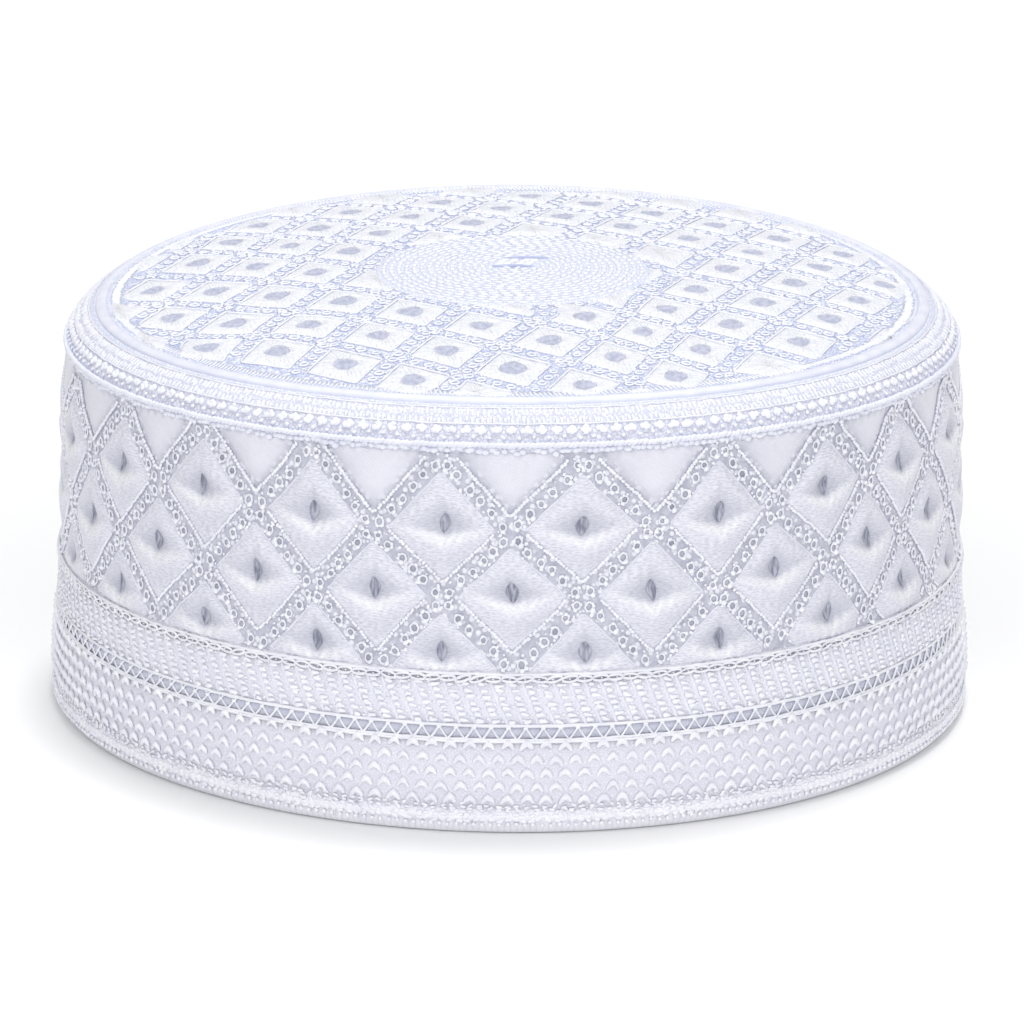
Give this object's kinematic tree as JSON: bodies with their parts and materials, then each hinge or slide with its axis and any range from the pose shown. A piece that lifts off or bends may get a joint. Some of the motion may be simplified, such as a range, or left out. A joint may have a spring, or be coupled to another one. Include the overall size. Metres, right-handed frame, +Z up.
{
  "type": "embroidered prayer cap",
  "caption": "Stiff round prayer cap with a flat crown, a padded diamond side band, braids, a net insert and a rolled hem.",
  "frame": {"origin": "middle of the flat plane that the hem stands on", "axes": "+Z up through the crown, -Y towards the cap's front, +X to the right seen from the front"},
  "size_m": [0.1888, 0.1888, 0.0892],
  "materials": {
    "braid": "white woven braid",
    "netting": "white thread net",
    "thread": "white embroidery thread",
    "satin": "white satin, padded and embroidered",
    "lining": "plain off-white cotton"
  },
  "bodies": {
    "root": {"hem": "braid", "scale_band": "braid", "net_insert": "netting", "rib_braid": "braid", "chain_trim": "thread", "diamond_band": "satin", "upper_cord": "thread", "shoulder_braid": "thread", "crown_cord": "thread", "crown_panel": "satin", "crown_rosette": "thread", "side_lining": "lining", "crown_lining": "lining"}
  },
  "joints": []
}
